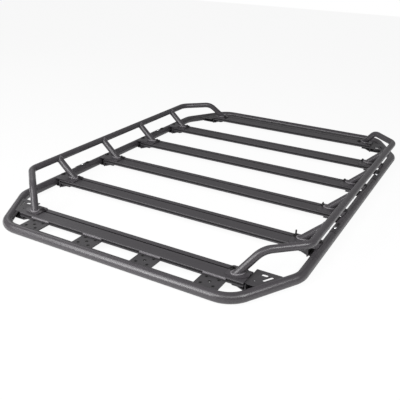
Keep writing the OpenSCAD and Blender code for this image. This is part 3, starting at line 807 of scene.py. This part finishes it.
def stud(length_mm, radius_mm=3.4, pitch_mm=1.0, thread_mm=0.55, tip=0.72, columns=20, rows_per_turn=6):
    """Threaded stud standing on the origin.

    radius(angle, z) = radius - thread * (1 - cos(2 pi z / pitch - angle)) / 2, falling to a share of that,
    tip, over the last turn
    """
    z = np.linspace(0.0, length_mm, int(length_mm / pitch_mm * rows_per_turn))[:, None]
    angle = np.linspace(0.0, 2 * math.pi, columns, endpoint=False)[None, :]
    wave = (1 - np.cos(2 * math.pi * z / pitch_mm - angle)) / 2
    chamfer = np.clip((length_mm - z) / pitch_mm, 0.0, 1.0)
    radius = (radius_mm - thread_mm * wave) * (tip + (1 - tip) * chamfer)
    rings = np.stack((radius * np.cos(angle), radius * np.sin(angle), z + 0 * angle), axis=-1) * mm
    return stacked_skin(rings, (0.0, 0.0, 0.0), (0.0, 0.0, length_mm * mm))


def spun(skin, turn):
    """The same skin turned about the z axis by an angle in radians."""
    c, s = math.cos(turn), math.sin(turn)
    return skin[0] @ np.array([[c, s, 0.0], [-s, c, 0.0], [0.0, 0.0, 1.0]]), skin[1]


washer = turned([(0, 0, 0), (10.8, 0, 0), (11.0, 0.3, 0), (11.0, 1.1, 0), (10.7, washer_mm, 0),
                 (0, washer_mm, 0)])
flange_nut = turned([(0, 1.3, 0), (7.0, 1.3, 0), (7.1, 1.8, 0), (6.9, 2.2, 0), (5.9, 2.9, 0),
                     (5.8, 3.0, 10), (5.8, 6.6, 10), (5.3, 7.4, 10), (4.9, 8.6, 0), (4.2, 9.4, 0),
                     (0, 9.4, 0)])
hex_head = turned([(0, 0, 0), (5.9, 0, 10), (5.9, 3.2, 10), (5.3, 3.9, 10), (4.6, 4.1, 0), (0, 4.1, 0)])
button_head = turned([(0, 0, 0), (5.6, 0, 0), (5.7, 0.4, 0), (5.2, 1.6, 0), (4.3, 2.6, 0), (3.2, 3.2, 0),
                      (2.4, 3.4, 0), (2.3, 3.3, 4), (2.3, 1.3, 4), (0, 1.2, 0)])
print("faces of washer, nut and heads",
      [len(skin[1]) for skin in (washer, flange_nut, hex_head, button_head)])

# %% [markdown]
# A nut is never left at the same angle as its neighbour, so each one is turned by the golden angle from the
# last, which looks unplanned but comes out the same every time. The studs stand out of the nuts by
# different amounts, as in the photograph, where the one nearest the camera on the right is the longest. The
# outer holes of the foot plates have low button heads instead.

# %% Bolts at the feet
golden = math.radians(137.5)
bolt_in = 9 * mm
pad_short = 5 * mm
inner_bolt_x = pad_in + bolt_in
outer_bolt_x = side_x - pad_short - bolt_in
leg_bolt = np.array([420.0, 799.0]) * mm
stud_mm = {1: (25, 15, 11, 11), -1: (12, 12, 11, 11)}
leg_stud_mm = 10
bolt_spots = [(x_sign * inner_bolt_x, y + slot_shift, pad_top, length_mm)
              for x_sign in (1, -1) for y, length_mm in zip(slat_y, stud_mm[x_sign])]
bolt_spots += [(x_sign * leg_bolt[0], y_sign * leg_bolt[1], pad_top, leg_stud_mm)
               for x_sign, y_sign in quarters]
foot_nuts, foot_studs = [], []
for count, (x, y, z, length_mm) in enumerate(bolt_spots):
    foot_nuts += [moved(washer, (x, y, z)), moved(spun(flange_nut, golden * count), (x, y, z))]
    foot_studs.append(moved(stud(length_mm), (x, y, z)))

button_spots = [(x_sign * outer_bolt_x, y + slot_shift, pad_top) for x_sign in (1, -1) for y in slat_y]
foot_buttons = []
for count, spot in enumerate(button_spots):
    foot_buttons += [moved(washer, spot),
                     moved(spun(button_head, golden * count), np.add(spot, (0, 0, washer_thick)))]

# %% [markdown]
# Bolts and nuts are not powder-coated with the rack. These are blackened steel, which has a layer of dark
# oxide that is nearly black and dull, so it is not a metal to the shader. The screws on the side tubes are
# bright zinc instead, which is one, and the plain black caps beside them are painted shadow, set where shade
# falls. All three are fine surfaces with a little unevenness, so one function makes them.

# %% Finishes of the fasteners
fine_grain_mm, fine_mottle_mm = 0.5, 6.0
palest = 0.9


def small_part_finish(name, colour, roughness, metallic, relief_mm=0.02, specular=0.5):
    """Fine surface of a small part, with a little unevenness in its shade and gloss."""
    finish = bpy.data.materials.new(name)
    finish.use_nodes = True
    tree = finish.node_tree
    skin = tree.nodes["Principled BSDF"]
    skin.inputs["Metallic"].default_value = metallic
    skin.inputs["Specular IOR Level"].default_value = specular
    where = put(tree, "ShaderNodeTexCoord", (-1500, 0)).outputs["Object"]
    grain = placed_group(tree, coat_grain, (-1200, 100), Vector=where, Grain_mm=fine_grain_mm,
                         Mottle_mm=fine_mottle_mm)
    colour = np.array(colour)
    base = colour_mix(tree, (-800, 300), grain["Mottle"], colour * 0.8, np.minimum(colour * 1.15, palest))
    gloss = put(tree, "ShaderNodeMapRange", (-400, 0),
                {"Value": grain["Speckle"], "To Min": roughness - 0.05, "To Max": roughness + 0.08})
    bump = put(tree, "ShaderNodeBump", (-300, -200),
               {"Height": grain["Height"], "Strength": 1.0, "Distance": relief_mm * mm})
    tree.links.new(base, skin.inputs["Base Color"])
    tree.links.new(gloss.outputs["Result"], skin.inputs["Roughness"])
    tree.links.new(bump.outputs["Normal"], skin.inputs["Normal"])
    return finish


black_steel = small_part_finish("black_steel", (0.012, 0.011, 0.012), 0.5, 0.0, specular=0.2)
bright_zinc = small_part_finish("bright_zinc", (0.72, 0.73, 0.74), 0.3, 1.0)
# Painted shadow: plain black for the caps that stand where shade falls beside the screws.
painted_shadow_black = small_part_finish("painted_shadow_black", (0.010, 0.010, 0.010), 0.65, 0.0, relief_mm=0.05,
                                 specular=0.3)

piece("foot_nuts", foot_nuts, black_steel, smooth_deg=30.0)
piece("foot_studs", foot_studs, black_steel, smooth_deg=60.0)
piece("foot_buttons", foot_buttons, black_steel, smooth_deg=30.0)

# %% [markdown]
# Underneath, one hexagon bolt holds each bracket to the channel in the slat's keel. The head hangs down, so
# the standing head is turned over by mirroring it twice, which keeps its faces outward.

# %% Bolts under the brackets
bracket_bolt_in = 37 * mm
bracket_skin_z = 9 * mm


def hung(skin):
    """Skin turned over about the x axis, so that what stood now hangs."""
    return skin[0] * np.array([1.0, -1.0, -1.0]), skin[1]


bracket_spots = [(x_sign * (slat_end - bracket_bolt_in), y, bracket_skin_z)
                 for x_sign in (1, -1) for y in slat_y]
bracket_spots += [(x_sign * (end_slat_end - bracket_bolt_in), y_sign * end_slat_y, bracket_skin_z)
                  for x_sign, y_sign in quarters]
bracket_bolts = []
for count, spot in enumerate(bracket_spots):
    bracket_bolts += [moved(hung(washer), spot),
                      moved(hung(spun(hex_head, golden * count)), np.subtract(spot, (0, 0, washer_thick)))]
piece("bracket_bolts", bracket_bolts, black_steel, smooth_deg=30.0)

# %% [markdown]
# On top of each side tube, between the middle slats, the photograph shows a bright screw head in a small
# clip, with a low dark shape beyond it. That shape is shade, and a black cap is put there as painted shadow.
# The cap is a flattened ball, laid over the tube: its points are lowered by as much as the tube's own
# roundness falls away.

# %% Screws and caps on the side tubes
screw_y = np.array([-315.0, 345.0]) * mm
cap_y = np.array([-281.0, 386.0]) * mm
cap_half = np.array([6.5, 17.0, 5.0]) * mm
screw_sink = 0.5 * mm


def tube_cap(half, radius, rows=18, columns=36, power=0.7):
    """Flattened ball over the top of a tube of a given radius that runs along y.

    x = hx * cos(u)^p * cos(t), y = hy * cos(u)^p * sin(t),
    z = hz * sin(u) - (radius - sqrt(radius^2 - x^2))
    """
    u = np.linspace(-math.pi / 2, math.pi / 2, rows)[:, None]
    t = np.linspace(0.0, 2 * math.pi, columns, endpoint=False)[None, :]
    wide = np.abs(np.cos(u)) ** power
    x = half[0] * wide * np.cos(t)
    y = half[1] * wide * np.sin(t)
    z = half[2] * np.sin(u) - (radius - np.sqrt(radius ** 2 - x ** 2))
    rings = np.stack((x, y, z), axis=-1)[1:-1]
    return stacked_skin(rings, (0.0, 0.0, -half[2]), (0.0, 0.0, half[2]))


# Painted shadow: the black caps stand where shade falls beside the screws.
cap = tube_cap(cap_half, ring_radius)
piece("shadow_caps", [moved(cap, (x_sign * side_x, y, 2 * ring_radius)) for x_sign in (1, -1) for y in cap_y],
      painted_shadow_black)
screw_spots = [(x_sign * side_x, y, clip_top - screw_sink) for x_sign in (1, -1) for y in screw_y]
piece("clip_screws", [moved(spun(button_head, golden * count), spot)
                      for count, spot in enumerate(screw_spots)],
      bright_zinc, smooth_deg=30.0)
